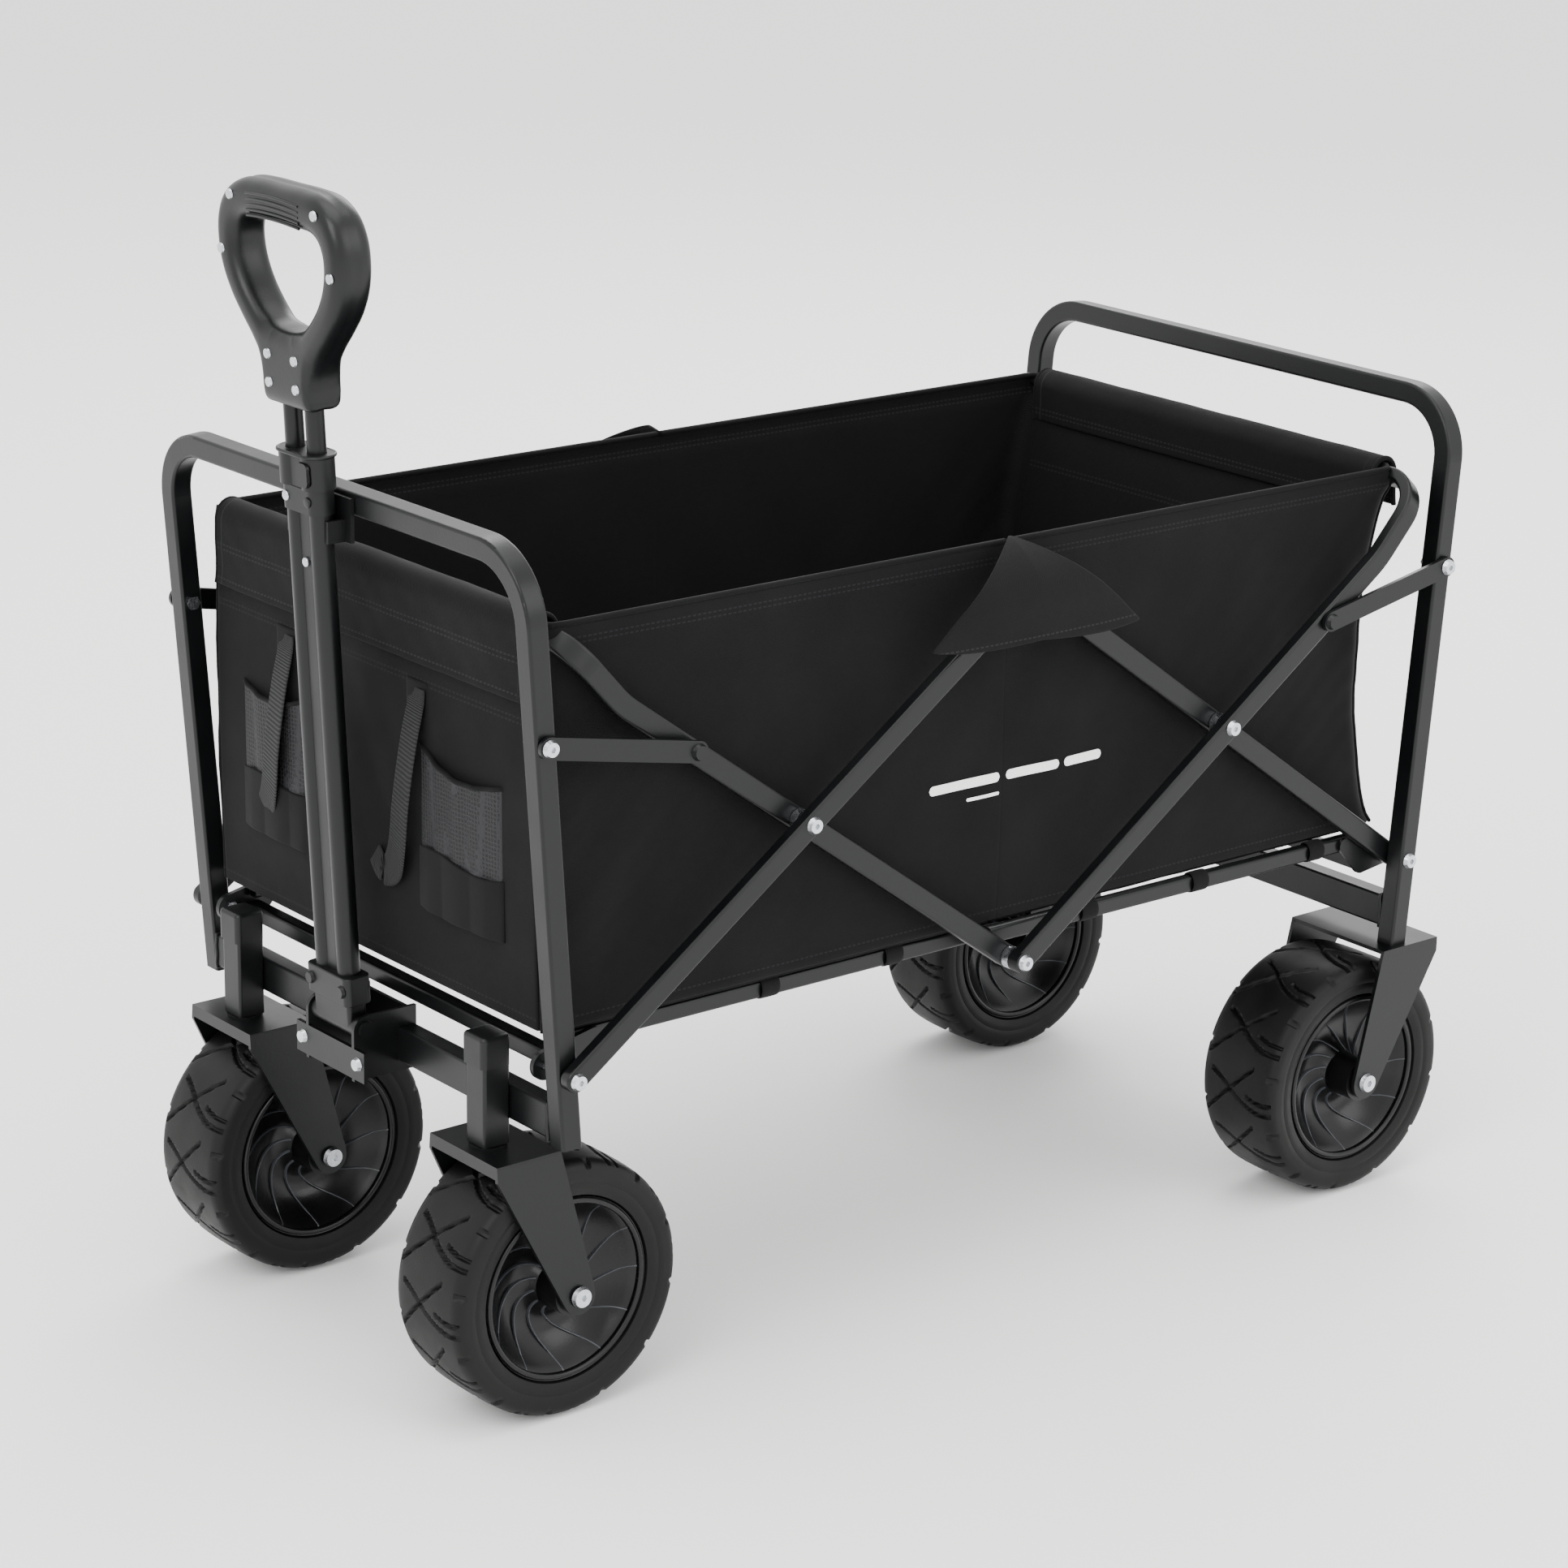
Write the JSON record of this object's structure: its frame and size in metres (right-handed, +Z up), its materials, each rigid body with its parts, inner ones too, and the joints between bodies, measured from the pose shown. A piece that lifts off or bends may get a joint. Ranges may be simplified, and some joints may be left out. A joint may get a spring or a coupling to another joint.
{
  "type": "collapsible folding wagon",
  "caption": "Folding fabric utility wagon on a scissor steel frame, with wide foam wheels, swivelling front casters and a telescoping pull handle.",
  "frame": {"origin": "on the ground under the middle of the overall box", "axes": "+X forward to the handle, +Y to the wagon's left, +Z up"},
  "size_m": [0.9075, 0.4832, 0.8205],
  "materials": {
    "powder_coat": "satin",
    "zinc": "satin",
    "wheel_rubber": "matte",
    "black_plastic": "satin",
    "wagon_fabric": "matte"
  },
  "bodies": {
    "front_frame": {"front_u_frame": "powder_coat", "front_crossbar": "powder_coat", "handle_bracket": "powder_coat", "caster_posts": "powder_coat", "caster_post_caps": "black_plastic", "handle_clip": "black_plastic", "front_frame_bolts": "zinc", "handle_pivot_pin": "zinc"},
    "rear_frame": {"rear_u_frame": "powder_coat", "rear_crossbar": "powder_coat", "rear_forks": "powder_coat", "rear_axles": "zinc", "rear_frame_bolts": "zinc"},
    "front_strut_left": {"front_strut_left": "powder_coat", "front_strut_bolts_left": "zinc", "top_cap_left": "wagon_fabric"},
    "front_strut_right": {"front_strut_right": "powder_coat", "front_strut_bolts_right": "zinc", "top_cap_right": "wagon_fabric"},
    "rear_strut_left": {"rear_strut_left": "powder_coat"},
    "rear_strut_right": {"rear_strut_right": "powder_coat"},
    "front_hoop": {"front_hoop": "powder_coat"},
    "rear_hoop": {"rear_hoop": "powder_coat", "rear_hoop_bolts": "zinc"},
    "front_link_left": {"front_link_left": "powder_coat"},
    "front_link_right": {"front_link_right": "powder_coat"},
    "rear_link_left": {"rear_link_left": "powder_coat"},
    "rear_link_right": {"rear_link_right": "powder_coat"},
    "base_front": {"base_front_frame": "powder_coat", "floor_front": "wagon_fabric"},
    "base_rear": {"base_rear_frame": "powder_coat", "floor_rear": "wagon_fabric"},
    "tub_front": {"front_panel": "wagon_fabric", "front_flap": "wagon_fabric", "bottle_pockets": "wagon_fabric", "side_panels_front": "wagon_fabric"},
    "tub_rear": {"rear_panel": "wagon_fabric", "rear_flap": "wagon_fabric", "side_panels_rear": "wagon_fabric"},
    "handle": {"handle_foot": "black_plastic", "handle_clamp": "black_plastic", "handle_outer_tubes": "powder_coat", "lock_collar": "black_plastic"},
    "grip": {"handle_inner_tubes": "powder_coat", "grip_shell_front": "black_plastic", "grip_shell_rear": "black_plastic", "grip_screws": "zinc"},
    "button": {"release_button": "black_plastic"},
    "caster_left": {"caster_fork_left": "powder_coat", "caster_axle_left": "zinc"},
    "wheel_front_left": {"tyre_front_left": "wheel_rubber", "rim_front_left": "black_plastic"},
    "wheel_rear_left": {"tyre_rear_left": "wheel_rubber", "rim_rear_left": "black_plastic"},
    "caster_right": {"caster_fork_right": "powder_coat", "caster_axle_right": "zinc"},
    "wheel_front_right": {"tyre_front_right": "wheel_rubber", "rim_front_right": "black_plastic"},
    "wheel_rear_right": {"tyre_rear_right": "wheel_rubber", "rim_rear_right": "black_plastic"}
  },
  "joints": [
    {"name": "fold", "type": "hinge", "parent": "front_frame", "child": "front_strut_left", "pos_m": [0.3768, 0.228, 0.262], "axis": [0, 1, 0], "range_deg": [0, 38.7], "deforming": ["side_panels_front", "side_panels_rear"]},
    {"name": "front_strut_right_pivot", "type": "hinge", "parent": "front_frame", "child": "front_strut_right", "pos_m": [0.3768, -0.228, 0.262], "axis": [0, 1, 0], "range_deg": [0, 38.8]},
    {"name": "front_hoop_pivot", "type": "hinge", "parent": "front_strut_left", "child": "front_hoop", "pos_m": [0.18304, 0.22, 0.40021], "axis": [0, 1, 0], "range_deg": [-77.5, 0]},
    {"name": "rear_strut_left_pivot", "type": "hinge", "parent": "front_strut_left", "child": "rear_strut_left", "pos_m": [-0.01072, 0.22, 0.53841], "axis": [0, 1, 0], "range_deg": [-77.5, 0]},
    {"name": "rear_strut_right_pivot", "type": "hinge", "parent": "front_strut_right", "child": "rear_strut_right", "pos_m": [-0.01072, -0.22, 0.53841], "axis": [0, 1, 0], "range_deg": [-77.5, 0]},
    {"name": "rear_hoop_pivot", "type": "hinge", "parent": "rear_strut_left", "child": "rear_hoop", "pos_m": [-0.20448, 0.22, 0.40021], "axis": [0, 1, 0], "range_deg": [0, 77.5]},
    {"name": "rear_frame_pivot", "type": "hinge", "parent": "rear_strut_left", "child": "rear_frame", "pos_m": [-0.39824, 0.22, 0.262], "axis": [0, 1, 0], "range_deg": [0, 38.8]},
    {"name": "tub_front_hang", "type": "hinge", "parent": "front_hoop", "child": "tub_front", "pos_m": [0.3728, 0, 0.55292], "axis": [0, 1, 0], "range_deg": [0, 38.8]},
    {"name": "tub_rear_hang", "type": "hinge", "parent": "rear_hoop", "child": "tub_rear", "pos_m": [-0.39424, 0, 0.55292], "axis": [0, 1, 0], "range_deg": [-38.8, 0]},
    {"name": "base_front_hinge", "type": "hinge", "parent": "front_frame", "child": "base_front", "pos_m": [0.3768, 0, 0.262], "axis": [0, 1, 0], "range_deg": [0, 77.5]},
    {"name": "base_rear_hinge", "type": "hinge", "parent": "rear_frame", "child": "base_rear", "pos_m": [-0.39824, 0, 0.262], "axis": [0, 1, 0], "range_deg": [-77.5, 0]},
    {"name": "front_link_left_pivot", "type": "hinge", "parent": "front_frame", "child": "front_link_left", "pos_m": [0.3944, 0.224, 0.4893], "axis": [0, 1, 0], "range_deg": [0, 75.95]},
    {"name": "rear_link_left_pivot", "type": "hinge", "parent": "rear_frame", "child": "rear_link_left", "pos_m": [-0.41584, 0.235, 0.4893], "axis": [0, 1, 0], "range_deg": [-75.95, 0]},
    {"name": "caster_left_swivel", "type": "hinge", "parent": "front_frame", "child": "caster_left", "pos_m": [0.3918, 0.152, 0.21], "axis": [0, 0, 1], "continuous": true},
    {"name": "wheel_front_left_spin", "type": "hinge", "parent": "caster_left", "child": "wheel_front_left", "pos_m": [0.3518, 0.152, 0.0925], "axis": [0, 1, 0], "continuous": true},
    {"name": "wheel_rear_left_spin", "type": "hinge", "parent": "rear_frame", "child": "wheel_rear_left", "pos_m": [-0.36124, 0.189, 0.0925], "axis": [0, 1, 0], "continuous": true},
    {"name": "front_link_right_pivot", "type": "hinge", "parent": "front_frame", "child": "front_link_right", "pos_m": [0.3944, -0.224, 0.4893], "axis": [0, 1, 0], "range_deg": [0, 75.95]},
    {"name": "rear_link_right_pivot", "type": "hinge", "parent": "rear_frame", "child": "rear_link_right", "pos_m": [-0.41584, -0.235, 0.4893], "axis": [0, 1, 0], "range_deg": [-75.95, 0]},
    {"name": "caster_right_swivel", "type": "hinge", "parent": "front_frame", "child": "caster_right", "pos_m": [0.3918, -0.152, 0.21], "axis": [0, 0, 1], "continuous": true},
    {"name": "wheel_front_right_spin", "type": "hinge", "parent": "caster_right", "child": "wheel_front_right", "pos_m": [0.3518, -0.152, 0.0925], "axis": [0, 1, 0], "continuous": true},
    {"name": "wheel_rear_right_spin", "type": "hinge", "parent": "rear_frame", "child": "wheel_rear_right", "pos_m": [-0.36124, -0.189, 0.0925], "axis": [0, 1, 0], "continuous": true},
    {"name": "handle_swing", "type": "hinge", "parent": "front_frame", "child": "handle", "pos_m": [0.4078, 0, 0.243], "axis": [0, 1, 0], "range_deg": [0, 97]},
    {"name": "handle_slide", "type": "slide", "parent": "handle", "child": "grip", "axis": [0.0523, 0, 0.9986], "range_m": [-0.028, 0.24]},
    {"name": "button_press", "type": "slide", "parent": "handle", "child": "button", "axis": [0.9986, 0, -0.0523], "range_m": [-0.0015, 0], "stiffness_N_per_m": 500}
  ],
  "couplings": [
    {"joint": "front_strut_right_pivot", "follows": "fold", "ratio": 1},
    {"joint": "front_hoop_pivot", "follows": "fold", "ratio": -2},
    {"joint": "rear_strut_left_pivot", "follows": "fold", "ratio": -2},
    {"joint": "rear_strut_right_pivot", "follows": "fold", "ratio": -2},
    {"joint": "rear_hoop_pivot", "follows": "fold", "ratio": 2},
    {"joint": "rear_frame_pivot", "follows": "fold", "ratio": 1},
    {"joint": "tub_front_hang", "follows": "fold", "ratio": 1},
    {"joint": "tub_rear_hang", "follows": "fold", "ratio": -1},
    {"joint": "base_front_hinge", "follows": "fold", "ratio": 2},
    {"joint": "base_rear_hinge", "follows": "fold", "ratio": -2},
    {"joint": "front_link_left_pivot", "follows": "fold", "ratio": 1.96},
    {"joint": "rear_link_left_pivot", "follows": "fold", "ratio": -1.96},
    {"joint": "front_link_right_pivot", "follows": "fold", "ratio": 1.96},
    {"joint": "rear_link_right_pivot", "follows": "fold", "ratio": -1.96}
  ]
}
